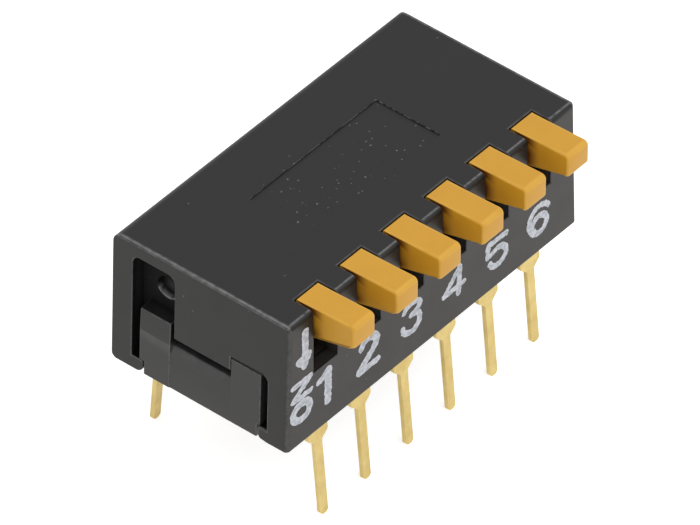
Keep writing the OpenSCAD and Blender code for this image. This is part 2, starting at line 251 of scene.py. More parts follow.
# %% Dust specks
dust_group, start, end = new_group("dust", {"Spacing": 0.28 * MM, "Size": 0.15, "Amount": 0.2}, ["Mask"])
bends = add(dust_group, "TexNoise", {"Vector": start["Place"], "Scale": 1 / (0.09 * MM), "Detail": 2.0})
swept = add(dust_group, "VectorMath", {
    0: bends.outputs["Color"], 1: (0.16 * MM, 0.16 * MM, 0.16 * MM), 2: start["Place"],
}, operation="MULTIPLY_ADD")
cells = add(dust_group, "TexVoronoi", {
    "Vector": swept.outputs[0], "Scale": calc(dust_group, "DIVIDE", 1.0, start["Spacing"]), "Randomness": 1.0,
})
chance = add(dust_group, "SeparateColor", {0: cells.outputs["Color"]}).outputs[0]
clusters = noise(dust_group, start["Place"], 2.2 * MM)
kept = calc(dust_group, "GREATER_THAN", calc(dust_group, "MULTIPLY", clusters, start["Amount"]), chance)
inner = calc(dust_group, "MULTIPLY", start["Size"], 0.6)
speck = ramp(dust_group, cells.outputs["Distance"], inner, start["Size"], 1.0, 0.0)
dust_group.links.new(calc(dust_group, "MULTIPLY", speck, kept), end["Mask"])
print("made", dust_group.name)

# %% Worn edges and painted edge highlights
wear_and_sheen_group, start, end = new_group("edge wear and sheen", {"Edge": 0.0, "Size": 0.3 * MM, "Amount": 0.5}, ["Mask"])
rubbed = add(wear_and_sheen_group, "TexNoise", {
    "Vector": start["Place"], "Scale": calc(wear_and_sheen_group, "DIVIDE", 1.0, start["Size"]),
    "Detail": 4.0, "Roughness": 0.65,
})
broken = ramp(wear_and_sheen_group, rubbed.outputs[0], 0.2, 0.6)
line = calc(wear_and_sheen_group, "MULTIPLY", start["Edge"], broken)
wear_and_sheen_group.links.new(calc(wear_and_sheen_group, "MULTIPLY", line, start["Amount"], clamp=True), end["Mask"])
print("made", wear_and_sheen_group.name)

# %% Pale slots
SLOT_DEPTH = 1.6         # how far the key slots reach in from the front
CORNER_POST = 1.16       # the width of plastic between an end's foot and the outermost slot
ROOF_EDGE = 0.2          # the rounding between the front and the roof starts this far down

# Painted light: this mask marks the inside of the key slots, which the materials paint paler to lift their
# shade.
slot_light_group, start, end = new_group("pale slots", {}, ["Mask"])
x, y, z = millimetres(slot_light_group, start["Place"])
behind_front = ramp(slot_light_group, y, FRONT_Y + 0.06, FRONT_Y + 0.12)
before_block = calc(slot_light_group, "LESS_THAN", y, FRONT_Y + SLOT_DEPTH)
between_posts = calc(slot_light_group, "LESS_THAN", calc(slot_light_group, "ABSOLUTE", x), END_X - CORNER_POST)
under_roof = calc(slot_light_group, "LESS_THAN", z, TOP_Z - ROOF_EDGE)
in_slots = where_all(slot_light_group, behind_front, before_block, between_posts, under_roof)
slot_light_group.links.new(in_slots, end["Mask"])
print("made", slot_light_group.name)

# %% [markdown]
# ## Black moulded plastic
# The cover and the base are moulded from black, glass-filled plastic. Its own colour is nearly
# black, and what the eye sees is mostly the pale room mirrored faintly in a matt skin: that is why
# the upright faces, which mirror the table at a flat angle, look lighter than the top. So the base
# colour stays dark, and the roughness does the work.

# %% Black plastic
def new_material(slot):
    """The finish for one of the record's material slots: the material, its node tree, its shader
    and the object's own coordinates."""
    material = bpy.data.materials.new(f"{slot}_finish")
    material["slot"] = slot
    material.use_nodes = True
    tree = material.node_tree
    shader = tree.nodes["Principled BSDF"]
    place = tree.nodes.new("ShaderNodeTexCoord").outputs["Object"]
    return material, tree, shader, place


def bump(tree, shader, height, depth):
    """Feeds a bump of the given depth in metres to the shader's normal."""
    node = add(tree, "Bump", {"Height": height, "Distance": depth, "Strength": 1.0})
    tree.links.new(node.outputs[0], shader.inputs["Normal"])


def edge_value(tree):
    """The value stored in the mesh that is 1 on rounded edges."""
    return add(tree, "Attribute", attribute_name="rounding").outputs["Fac"]


def black_skin(tree, shader, place, own_colour, edge_colour, roughness, grain_size):
    """Dark plastic with a matt grain, uneven patches and paler edges: wear and painted highlight.

    own_colour is what shows on the outside. The key slots are painted paler, as painted light, and
    deep inside the block painted shade turns the plastic black, partly metallic and dull. The
    colour is given back rather than linked, so that a material can lay its own marks over it.
    """
    # Painted light: the key slots are painted grey 50, paler than the skin around them.
    slots = use_group(tree, slot_light_group, Place=place)["Mask"]
    # Painted shade: deep inside the block the colour turns to grey 12.
    deep = add(tree, "Attribute", attribute_name="inside").outputs["Fac"]
    plain = blend_colours(tree, deep, blend_colours(tree, slots, own_colour, grey(50)), grey(12))
    patches = use_group(tree, mottle_group, Place=place, Size=2.6 * MM, Strength=0.5)["Factor"]
    body = blend_colours(tree, 1.0, plain, patches, "MULTIPLY")
    # Paler edges: partly rubbed wear, partly painted highlight.
    worn = use_group(tree, wear_and_sheen_group, Place=place, Edge=edge_value(tree), Size=0.22 * MM, Amount=0.9)

    # Painted shade: a metallic share deep inside keeps light from coming back.
    tree.links.new(calc(tree, "MULTIPLY", deep, 0.35), shader.inputs["Metallic"])
    uneven = use_group(tree, mottle_group, Place=place, Size=1.3 * MM, Strength=0.3)["Factor"]
    rough = ramp(tree, deep, 0.0, 1.0, roughness, 0.9)
    tree.links.new(calc(tree, "MULTIPLY", uneven, rough), shader.inputs["Roughness"])
    bump(tree, shader, use_group(tree, grain_group, Place=place, Size=grain_size)["Height"], 0.004 * MM)
    return blend_colours(tree, worn["Mask"], body, edge_colour)


def dust_over(tree, shader, place, colour, amount):
    """Lays dust specks over the colour and feeds it to the shader."""
    specks = use_group(tree, dust_group, Place=place, Amount=amount)["Mask"]
    tree.links.new(blend_colours(tree, specks, colour, grey(104)), shader.inputs["Base Color"])


print("black plastic ready")

# %% [markdown]
# ## The cover's marks
# A broken pale line is painted along the top edge of each end, partly as rubbed wear and partly as
# the highlight of that rounding. The walls of the shallow panel in the roof are painted lighter in
# broken patches, as painted light that lifts their shade, brightest as a painted highlight on the
# one at the last pole, and dust has settled in the panel. None of this needs geometry, so masks
# made from the place on the cover do it. The line is what lies close to a straight line in space:
# the distance to it is the root of the two squares.

# %% The cover's plastic
cover_plastic, tree, shader, place = new_material("cover_plastic")
skin = black_skin(tree, shader, place, grey(10), grey(122), 0.45, 0.07 * MM)
x, y, z = millimetres(tree, place)
along, across = calc(tree, "ABSOLUTE", x), calc(tree, "ABSOLUTE", y)

LINE_X = END_X - END_LEAN - 0.04     # the middle of the rounding between an end and the roof
beside, above = calc(tree, "SUBTRACT", along, LINE_X), calc(tree, "SUBTRACT", z, TOP_Z)
squares = [calc(tree, "MULTIPLY", leg, leg) for leg in (beside, above)]
distance = calc(tree, "SQRT", calc(tree, "ADD", *squares))
# Partly wear and partly painted highlight: a broken pale line along the top edge of each end.
broken = ramp(tree, noise(tree, place, 0.3 * MM), 0.35, 0.65, 0.35, 0.8)
end_sheen_line = where_all(tree, ramp(tree, distance, 0.05, 0.14, 1.0, 0.0), broken)
skin = blend_colours(tree, end_sheen_line, skin, grey(122))
print("line", round(LINE_X, 2), "mm from the middle")

# %% The panel's painted wall light and dust
WALL = (0.005, 0.055)    # the panel's wall lies between these depths below the roof
in_panel = where_all(
    tree,
    calc(tree, "GREATER_THAN", z, TOP_Z - 0.1),
    calc(tree, "LESS_THAN", along, PANEL[0] + 0.1),
    calc(tree, "LESS_THAN", across, PANEL[1] + 0.1),
)
below_roof = calc(tree, "LESS_THAN", z, TOP_Z - WALL[0])
above_floor = calc(tree, "GREATER_THAN", z, TOP_Z - WALL[1])
# Painted light: the panel's walls are painted lighter in broken patches to lift their shade, and at the last
# pole brighter still, as a painted highlight.
wall_light = ramp(tree, noise(tree, place, 0.25 * MM), 0.4, 0.6, 0.1, 1.0)
at_last_pole = calc(tree, "GREATER_THAN", x, PANEL[0] - 0.05)
wall = blend_colours(tree, at_last_pole, grey(84), grey(150))
skin = blend_colours(tree, where_all(tree, in_panel, below_roof, above_floor, wall_light), skin, wall)
dust_over(tree, shader, place, skin, calc(tree, "ADD", calc(tree, "MULTIPLY", in_panel, 1.1), 0.04))
print("made", cover_plastic.name)

# %% [markdown]
# ## The base's marks
# Behind the step where the end plates get taller, their plastic is a darker grey above a set
# height and a paler grey below it. Just under that height paler clouds are painted in as light,
# lifting the shade on the sloped band under the groove.

# %% The base's plastic
TONE_LINE_Z = 3.18            # above this height the end plates are darker
LIP = 0.6                # how far down the painted light reaches
STEP_Y = -1.53           # the step where the end plates get taller

base_plastic, tree, shader, place = new_material("base_plastic")
x, y, z = millimetres(tree, place)
behind_step = ramp(tree, y, STEP_Y + 0.03, STEP_Y + 0.05)
upper_plate = where_all(tree, behind_step, ramp(tree, z, TONE_LINE_Z, TONE_LINE_Z + 0.03))
# Painted light: paler clouds just under the line lift the shade on the band below the groove.
clouds = ramp(tree, noise(tree, place, 0.4 * MM, detail=4.0), 0.3, 0.7, 0.5, 1.0)
lit_lip = where_all(tree, behind_step, ramp(tree, z, TONE_LINE_Z - LIP, TONE_LINE_Z - 0.1), clouds)
plate_tones = blend_colours(tree, upper_plate, blend_colours(tree, lit_lip, grey(42), grey(70)), grey(25))
skin = black_skin(tree, shader, place, plate_tones, grey(165), 0.42, 0.05 * MM)
dust_over(tree, shader, place, skin, 0.1)
print("made", base_plastic.name)

# %% [markdown]
# ## Amber key plastic
# The keys are moulded from an amber plastic with a satin skin, through which light passes a little
# way. Their edges are painted paler amber as a highlight, and their sides are painted dark brown
# where they enter the slots, as the shade that falls there. The sides are told from the top and
# the front by a value stored in the mesh.

# %% Amber plastic
key_plastic, tree, shader, place = new_material("key_plastic")
patches = use_group(tree, mottle_group, Place=place, Size=1.4 * MM, Strength=0.16)["Factor"]
side = add(tree, "Attribute", attribute_name="side").outputs["Fac"]
y = add(tree, "SeparateXYZ", {0: place}).outputs["Y"]
into_slot = ramp(tree, y, (FRONT_Y - 0.5) * MM, (FRONT_Y + 0.1) * MM)
# Painted shade: the sides turn dark brown towards the slots, where a key enters the block.
root = calc(tree, "MULTIPLY", side, into_slot)
skin = blend_colours(tree, root, screen_colour(212, 155, 34), screen_colour(112, 60, 8))
amber = blend_colours(tree, 1.0, skin, patches, "MULTIPLY")
# Painted highlight: the roundings are painted paler amber, the light they catch.
pale = use_group(tree, wear_and_sheen_group, Place=place, Edge=edge_value(tree), Size=0.9 * MM, Amount=0.3)["Mask"]
tree.links.new(blend_colours(tree, pale, amber, screen_colour(238, 190, 84)), shader.inputs["Base Color"])
uneven = use_group(tree, mottle_group, Place=place, Size=0.6 * MM, Strength=0.2)["Factor"]
tree.links.new(calc(tree, "MULTIPLY", uneven, 0.42), shader.inputs["Roughness"])
grain = use_group(tree, grain_group, Place=place, Size=0.09 * MM)["Height"]
bump(tree, shader, grain, 0.0025 * MM)
print("made", key_plastic.name)

# %% [markdown]
# ## Gold-plated strip and spring metal
# Terminals and contacts are stamped from thin strip. The terminals are plated, so they look like
# satin pale gold, with faint lines along the strip from the rolling mill. The lines are a noise
# that is stretched along Z, the way the legs run.

# %% Metals
def stamped_metal(name, colour, shade, roughness, stretch):
    """Rolled strip: fine lines along the strip, slightly uneven plating and rubbed edges. stretch
    scales the places along X, Y and Z, and the lines run along the axis where it is small."""
    material, tree, shader, place = new_material(name)
    shader.inputs["Metallic"].default_value = 1.0
    patches = use_group(tree, mottle_group, Place=place, Size=0.8 * MM, Strength=0.8)["Factor"]
    tone = ramp(tree, patches, 0.8, 1.2)
    plated = blend_colours(tree, tone, shade, colour)
    worn = use_group(tree, wear_and_sheen_group, Place=place, Edge=edge_value(tree), Size=0.3 * MM, Amount=0.35)
    metal = blend_colours(tree, worn["Mask"], plated, screen_colour(240, 226, 178))
    tree.links.new(metal, shader.inputs["Base Color"])
    along = add(tree, "Mapping", {"Vector": place, "Scale": stretch}).outputs[0]
    lines = noise(tree, along, 0.03 * MM, detail=3.0)
    uneven = ramp(tree, lines, 0.3, 0.7, roughness - 0.06, roughness + 0.08)
    tree.links.new(uneven, shader.inputs["Roughness"])
    bump(tree, shader, lines, 0.0012 * MM)
    return material


gold_plated_pin = stamped_metal(
    "gold_plated_pin", screen_colour(222, 202, 140), screen_colour(206, 184, 120), 0.5, (1.0, 1.0, 0.06)
)
contact_spring = stamped_metal(
    "contact_spring", screen_colour(222, 190, 120), screen_colour(196, 160, 92), 0.34, (1.0, 0.06, 1.0)
)
print("made", gold_plated_pin.name, "and", contact_spring.name)

# %% [markdown]
# ## Legend ink
# The numbers are printed with a rubber pad in pale ink. The pad squeezes the ink outwards, so a
# stroke is dense at its rim and thinner, and a little greyer, along its middle.

# %% Ink
legend_ink, tree, shader, place = new_material("legend_ink")
rim = add(tree, "Attribute", attribute_name="rim").outputs["Fac"]
cloud = noise(tree, place, 0.16 * MM, detail=3.0)
thin = calc(tree, "MULTIPLY", calc(tree, "SUBTRACT", 1.0, rim), ramp(tree, cloud, 0.3, 0.75), clamp=True)
ink = blend_colours(tree, thin, screen_colour(213, 216, 223), screen_colour(158, 165, 176))
tree.links.new(ink, shader.inputs["Base Color"])
tree.links.new(ramp(tree, cloud, 0.3, 0.7, 0.5, 0.7), shader.inputs["Roughness"])
bump(tree, shader, noise(tree, place, 0.05 * MM), 0.004 * MM)
print("made", legend_ink.name)

# %% [markdown]
# ## From CAD node to finished piece
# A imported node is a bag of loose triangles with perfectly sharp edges. For each one a copy is
# made: equal corners are merged, and triangles of one plane become one face again. Then the sharp
# outer edges are bevelled. Real moulded edges are a few hundredths of a millimetre round, and that
# thin rounding is what draws a bright line along them. How round each edge is depends on where it
# is, so `round_edges` asks a function for it. The bevel modifier reads those answers as weights.

# %% Helpers that finish a CAD piece
SAME_CORNER = 1e-4 * MM
SHORTEST_EDGE = 0.004 * MM
ONE_PLANE = math.radians(0.6)
SHARP = math.radians(33)


def merged_copy(node):
    """The node's surface as one closed bmesh, with each flat face in one piece."""
    shell = bmesh.new()
    shell.from_mesh(frame["nodes"][node].data)
    bmesh.ops.remove_doubles(shell, verts=shell.verts, dist=SAME_CORNER)
    bmesh.ops.dissolve_limit(shell, angle_limit=ONE_PLANE, verts=shell.verts, edges=shell.edges)
    bmesh.ops.dissolve_degenerate(shell, dist=SHORTEST_EDGE, edges=shell.edges)
    return shell


def cut_to_round(shell, corner, facing_a, facing_b, radius):
    """Rounds the long edge through a corner where two faces meet, by three slices along a circle.

    The circle touches both faces, so its middle lies radius / (1 + a . b) times (a + b) behind the
    edge. Each slice touches it between the two facing directions a and b. The holes that a slice
    leaves are closed with flat faces.
    """
    middle = corner * MM - (facing_a + facing_b) * radius * MM / (1 + facing_a.dot(facing_b))
    for share in (0.25, 0.5, 0.75):
        facing = facing_a.slerp(facing_b, share)
        bmesh.ops.bisect_plane(
            shell, geom=[*shell.verts, *shell.edges, *shell.faces], dist=1e-9,
            plane_co=middle + facing * radius * MM, plane_no=facing, clear_outer=True,
        )
        rim = [edge for edge in shell.edges if edge.is_boundary]
        bmesh.ops.holes_fill(shell, edges=rim, sides=0)
    bmesh.ops.recalc_face_normals(shell, faces=shell.faces)


def round_edges(shell, name, radius_at, segments):
    """An object from the shell whose outer sharp edges are rounded to radius_at(middle) millimetres."""
    weight = shell.edges.layers.float.new("bevel_weight_edge")
    radii = {}
    for edge in shell.edges:
        if edge.calc_face_angle_signed(0) > SHARP:
            middle = (edge.verts[0].co + edge.verts[1].co) / (2 * MM)
            radii[edge] = radius_at(middle)
    widest = max(radii.values())
    for edge, radius in radii.items():
        edge[weight] = radius / widest
    mesh = bpy.data.meshes.new(name)
    shell.to_mesh(mesh)
    shell.free()
    piece = bpy.data.objects.new(name, mesh)
    scene.collection.objects.link(piece)
    modifier = piece.modifiers.new("rounding", "BEVEL")
    modifier.limit_method = "WEIGHT"
    modifier.width = widest * MM
    modifier.segments = segments
    modifier.use_clamp_overlap = False
    modifier.miter_outer = "MITER_ARC"
    return piece


def bake_modifiers(piece):
    """Replaces the piece's mesh by what its modifiers make of it."""
    bpy.context.view_layer.update()
    result = piece.evaluated_get(bpy.context.evaluated_depsgraph_get())
    mesh = bpy.data.meshes.new_from_object(result)
    piece.modifiers.clear()
    piece.data = mesh
    mesh.name = piece.name


def mark_roundings(mesh, wear_and_sheen_at, widest=0.11 * MM):
    """Stores "rounding" in each corner: 0 where a flat begins, and wear_and_sheen_at(place, normal) where every
    face around it is narrow.

    A face's width is twice its area divided by half its perimeter, which is right for a long strip.
    """
    faces = len(mesh.polygons)
    area, first, count = np.zeros(faces), np.zeros(faces, int), np.zeros(faces, int)
    mesh.polygons.foreach_get("area", area)
    mesh.polygons.foreach_get("loop_start", first)
    mesh.polygons.foreach_get("loop_total", count)
    corner_of, edge_of = np.zeros(len(mesh.loops), int), np.zeros(len(mesh.loops), int)
    mesh.loops.foreach_get("vertex_index", corner_of)
    mesh.loops.foreach_get("edge_index", edge_of)
    ends, places = np.zeros(2 * len(mesh.edges), int), np.zeros(3 * len(mesh.vertices))
    mesh.edges.foreach_get("vertices", ends)
    mesh.vertices.foreach_get("co", places)
    ends, places = ends.reshape(-1, 2), places.reshape(-1, 3)
    length = np.linalg.norm(places[ends[:, 0]] - places[ends[:, 1]], axis=1)
    perimeter = np.add.reduceat(length[edge_of], first)
    wide = (2 * area / perimeter > widest).astype(float)
    flat = np.zeros(len(mesh.vertices))
    np.maximum.at(flat, corner_of, np.repeat(wide, count))
    normals = np.zeros(3 * len(mesh.vertices))
    mesh.vertex_normals.foreach_get("vector", normals)
    store(mesh, "rounding", (1 - flat) * wear_and_sheen_at(places.T / MM, normals.reshape(-1, 3).T))


def store(mesh, name, values):
    """Keeps one float per vertex in the mesh, for a material to read."""
    mesh.attributes.new(name, "FLOAT", "POINT").data.foreach_set("value", values.astype(np.float32))


def finish_piece(piece, material, body):
    """Smooth shading that keeps sharp inner corners, the material, and the CAD body it rides on."""
    mesh = piece.data
    mesh.shade_smooth()
    mesh.set_sharp_from_angle(angle=SHARP)
    even = piece.modifiers.new("even normals", "WEIGHTED_NORMAL")
    even.keep_sharp = True
    mesh.materials.clear()
    mesh.materials.append(material)
    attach(piece, body)


def even_wear_and_sheen(place, normal):
    """Every rounding gets the same wear and painted highlight."""
    return 1.0


def rounded_piece(node, name, body, material, radius_at, wear_and_sheen_at=even_wear_and_sheen, segments=3, shell=None):
    """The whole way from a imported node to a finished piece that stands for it."""
    piece = round_edges(shell or merged_copy(node), name, radius_at, segments)
    bake_modifiers(piece)
    mark_roundings(piece.data, wear_and_sheen_at)
    finish_piece(piece, material, body)
    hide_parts(node)
    frame["nodes"][node].data.materials.clear()
    frame["nodes"][node].data.materials.append(material)
    print(name, len(piece.data.polygons), "faces")
    return piece


# %% [markdown]
# ## The cover
# The cover is one moulding: roof, walls, end windows and legs. Its outer arrises are almost sharp,
# because the tool's parting line runs there. The slots that the keys stand in are eased a little
# more, so that a key can't catch.
#
# Three long edges are much rounder: the two upright ones beside the front, and the bottom one at
# the rear. A bevel as wide as that runs into the small faces of the legs and spikes, so these edges
# are cut round first, by slicing the shell along a circle.

# %% The cover
CLOSE = 0.3              # an edge this close to an outer face lies on the outside
LEG_SLOT = (-3.5, -2.8)  # the slot beside each front leg, from and to along Y,
LEG_TOP = 3.4            # and how high it reaches above the underside
KEY_SLOT = 2.5           # the key slots start this far above the underside
LINE_TILT = 17           # the roof's front edge gets a painted highlight where it leans forward by this angle,
LINE_SPREAD = 14         # and less and less up to this many degrees to either side


def cover_radius(middle):
    """Slots and outer arrises are eased by different amounts, and inner edges hardly at all."""
    x, y, z = middle
    if abs(x) < PANEL[0] + 0.1 and abs(y) < PANEL[1] + 0.1:
        return 0.0
    if abs(x) > END_X - CLOSE and LEG_SLOT[0] < y < LEG_SLOT[1] and z < BOTTOM_Z + LEG_TOP:
        return 0.1
    if abs(x) < END_X - 1 and y < FRONT_Y + 1.1 and z > BOTTOM_Z + KEY_SLOT:
        return 0.07 if z > TOP_Z - CLOSE or z < BOTTOM_Z + KEY_SLOT + 0.6 else 0.05
    on_outside = (
        abs(x) > END_X - CLOSE or y < FRONT_Y + CLOSE or y > REAR_Y - CLOSE
        or z > TOP_Z - CLOSE or z < BOTTOM_Z + 0.02
    )
    return 0.05 if on_outside else 0.0


def cover_wear_and_sheen(place, normal):
    """How pale each rounding is painted, as wear and as painted highlight: a thin highlight line
    where the roof turns down to the front, the end and slot edges fully, the upright edges a
    little, and the wide rear rounding not at all."""
    x, y, z = place
    tilt = np.degrees(np.arccos(np.clip(normal[2], -1, 1)))
    front_highlight = np.clip(1 - np.abs(tilt - LINE_TILT) / LINE_SPREAD, 0, 1)
    on_front = (y < FRONT_Y + 0.26) & (z > TOP_Z - 0.26) & (np.abs(normal[0]) < 0.3)
    on_rear = (y > REAR_Y - 0.42) & (z > TOP_Z - 0.42)
    upright = np.abs(normal[2]) < 0.2
    on_slot = (np.abs(x) < END_X - 1) & (y < FRONT_Y + 1.2)
    in_panel = (np.abs(x) < PANEL[0] + 0.2) & (np.abs(y) < PANEL[1] + 0.2)
    return np.select([in_panel, on_rear, on_front, upright, on_slot], [0.0, 0.0, front_highlight, 0.3, 0.35], 0.6)


print("rounding, wear and sheen of the cover ready")

# %% Inside, where shade is painted
MARK = (0.34, 0.52)      # inner and outer radius of the bearing mark's rim in the end windows


def mark_inside_shade(mesh, clear_of_end, clear_of_roof):
    """Stores "inside", where the materials paint shade: 1 for what lies deeper than the given
    distances behind the ends and the roof, apart from the lower rim of the bearing mark, which
    catches the light."""
    places = np.zeros(3 * len(mesh.vertices))
    mesh.vertices.foreach_get("co", places)
    x, y, z = places.reshape(-1, 3).T / MM
    deep = (np.abs(x) < END_X - clear_of_end) & (z < TOP_Z - clear_of_roof)
    deep &= (y > FRONT_Y + 1.5) & (y < REAR_Y - 0.5) & (z > BOTTOM_Z + 0.02)
    from_pivot = np.hypot(y - PIVOT_Y, z - PIVOT_Z)
    deep &= ~((from_pivot > MARK[0]) & (from_pivot < MARK[1]) & (z < PIVOT_Z - 0.15))
    store(mesh, "inside", deep.astype(float))


print("bearing mark at", round(PIVOT_Y, 2), round(PIVOT_Z, 2), "mm")

# %% Cut the round edges and finish the cover
FRONT_ROUND = 0.2        # radius of the two upright edges beside the front
REAR_ROUND = 0.3         # radius of the bottom edge at the rear

eased = merged_copy("cover")
for side in (-1, 1):
    end_faces = Vector((side * (TOP_Z - BOTTOM_Z), 0, END_LEAN)).normalized()
    foot = Vector((side * END_X, FRONT_Y, BOTTOM_Z))
    cut_to_round(eased, foot, end_faces, Vector((0, -1, 0)), FRONT_ROUND)
cut_to_round(eased, Vector((0, REAR_Y, BOTTOM_Z)), Vector((0, 1, 0)), Vector((0, 0, -1)), REAR_ROUND)
print("open edges after cutting:", sum(not edge.is_manifold for edge in eased.edges))
cover_shell = rounded_piece(
    "cover", "cover_shell", "housing", cover_plastic, cover_radius, cover_wear_and_sheen, shell=eased
)
mark_inside_shade(cover_shell.data, clear_of_end=0.6, clear_of_roof=0.3)

# %% [markdown]
# ## The base
# The base carries the terminals and the key bearings. Only its end plates, its underside and the
# round mark of the outermost bearing behind each end window show, so only they are eased.

# %% The base's roundings and wear
BLOCK_X = END_X - 0.7    # the end plates stand outside this, and the bearing marks just inside


def base_radius(middle):
    """The step in the end plates is nearly sharp, and the bearing mark is eased at its lower half."""
    x, y, z = middle
    if abs(y - STEP_Y) < 0.1:
        return 0.012
    if abs(x) > BLOCK_X or z < BOTTOM_Z + 0.02:
        return 0.05
    on_mark = abs(x) > BLOCK_X - 0.3 and math.hypot(y - PIVOT_Y, z - PIVOT_Z) < MARK[1] + 0.03
    return 0.06 if on_mark and z < PIVOT_Z - 0.1 else 0.0


def base_wear_and_glint(place, normal):
    """A bright painted highlight on the lower rim of each bearing mark, and a little wear and
    sheen on the end plates' edges.
    """
    x, y, z = place
    # Painted highlight: the lower rim of the bearing mark, where the light catches.
    rim = (np.abs(x) < BLOCK_X) & (z < PIVOT_Z - 0.2)
    return np.where(rim, 1.0, 0.25)


base_block = rounded_piece("base", "base_block", "housing", base_plastic, base_radius, base_wear_and_glint)
mark_inside_shade(base_block.data, clear_of_end=END_X - BLOCK_X, clear_of_roof=0.3)

# %% [markdown]
# ## The keys
# Each key is one moulding that turns about trunnions inside the block. The six keys differ only in
# their place, so a loop makes them, and each rides on its own lever.

# %% The keys
NOSE_END = 0.85          # the nose is eased as far as this behind the front


def key_radius(middle):
    """The nose is well rounded, and the arm inside the block is left sharp."""
    return 0.12 if middle[1] < FRONT_Y + NOSE_END else 0.0


def mark_sides(mesh):
    """Stores "side": 1 where the surface faces along X, which is on the key's two flat sides."""
    normals = np.zeros(3 * len(mesh.vertices))
    mesh.vertex_normals.foreach_get("vector", normals)
    store(mesh, "side", (np.abs(normals.reshape(-1, 3)[:, 0]) > 0.8).astype(float))


for pole in range(1, POLES + 1):
    node = f"key_{pole}"
    key = rounded_piece(node, f"{node}_moulding", f"lever_{pole}", key_plastic, key_radius, segments=4)
    mark_sides(key.data)

# %% [markdown]
# ## Terminals and contacts
# Stamped strip has a slightly rolled edge on the punch side and a tiny burr on the other. Both are
# far below what can be seen, and an even rounding of one or two hundredths of a millimetre looks
# right. The terminals are fixed in the base, and each contact rides on its own lever.

# %% Terminals and contacts
def terminal_radius(middle):
    """Thick strip: the same everywhere."""
    return 0.025


def contact_radius(middle):
    """Thin strip: the same everywhere."""
    return 0.012


for pole in range(1, POLES + 1):
    for row in ("front", "rear"):
        node = f"terminal_{row}_{pole}"
        rounded_piece(node, f"{node}_strip", "housing", gold_plated_pin, terminal_radius, segments=2)
    node = f"contact_{pole}"
    rounded_piece(node, f"{node}_spring", f"lever_{pole}", contact_spring, contact_radius, segments=2)

# %% [markdown]
# ## Printed legends
# Each sign is a few strokes of a round pen. A stroke is a chain of points with a pen radius at
# each, and the distance from any place on the face to the sign's outline is the smallest distance
# to one of its segments, less the pen's radius there. On a fine grid that distance gives all that
# is needed: where it is negative there is ink, its zero line is the outline, and its depth says how
# thick the ink lies. A little seeded waviness is added to it, because printed outlines are ragged.
#
# Text objects could be used, but a pad-printed sign has round stroke ends, swollen corners and
# uneven edges that no font gives.

# %% The pen
def arc(centre, radii, start, stop, count=16):
    """Points on an ellipse from one angle to another, in degrees, anticlockwise from +X."""
    turn = np.radians(np.linspace(start, stop, count))
    return np.stack([centre[0] + radii[0] * np.cos(turn), centre[1] + radii[1] * np.sin(turn)], axis=1)


def stroke(*parts, pen):
    """Joins points and arcs to one chain, with a pen radius at each point that runs evenly through pen."""
    points = np.concatenate([np.atleast_2d(part) for part in parts]).astype(float)
    share = np.linspace(0, 1, len(points))
    return points, np.interp(share, np.linspace(0, 1, len(np.atleast_1d(pen))), np.atleast_1d(pen))


def outline_distance(x, z, strokes):
    """Distance from (x, z) to the sign's outline, negative inside: the least over all segments."""
    best = np.full(x.shape, np.inf)
    for points, pens in strokes:
        a, b = points[:-1], points[1:]
        along = b - a
        to_x, to_z = x[..., None] - a[:, 0], z[..., None] - a[:, 1]
        share = np.clip((to_x * along[:, 0] + to_z * along[:, 1]) / (along ** 2).sum(axis=1), 0, 1)
        reach = np.hypot(to_x - share * along[:, 0], to_z - share * along[:, 1])
        best = np.minimum(best, (reach - (pens[:-1] + share * (pens[1:] - pens[:-1]))).min(axis=-1))
    return best


def waviness(x, z, rng, waves=24):
    """A sum of small sine waves in random directions, 0.1 to 0.5 mm long, that stays within about 1."""
    length = rng.uniform(0.1, 0.5, waves)
    heading = rng.uniform(0, 2 * np.pi, waves)
    phase = rng.uniform(0, 2 * np.pi, waves)
    turn = 2 * np.pi * (x[..., None] * np.cos(heading) + z[..., None] * np.sin(heading)) / length + phase
    return np.sin(turn).sum(axis=-1) / np.sqrt(waves)


print("pen ready")

# %% Ink as a thin closed skin
INK_STEP = 0.022         # width of a grid cell
INK_MARGIN = 0.35        # how far the grid reaches past the pen's points
INK_THICK = 0.014        # how thick the ink lies
INK_SUNK = 0.01          # how far its back lies inside the plastic
INK_SPREAD = 0.016       # how far the pad squeezes it past the outline
RAGGED = 0.018           # how far the outline waves
INK_RIM = 0.05           # how far in from the outline the ink is thickest,
RIM_WIDTH = 0.03         # how wide that thick rim is,
RIM_SWELL = 0.35         # and how much thicker, as a share
INK_SLOPE = 0.02         # how far in from the outline most of the thickness is reached
INK_EDGE = 0.001         # how thick the ink is right at the outline


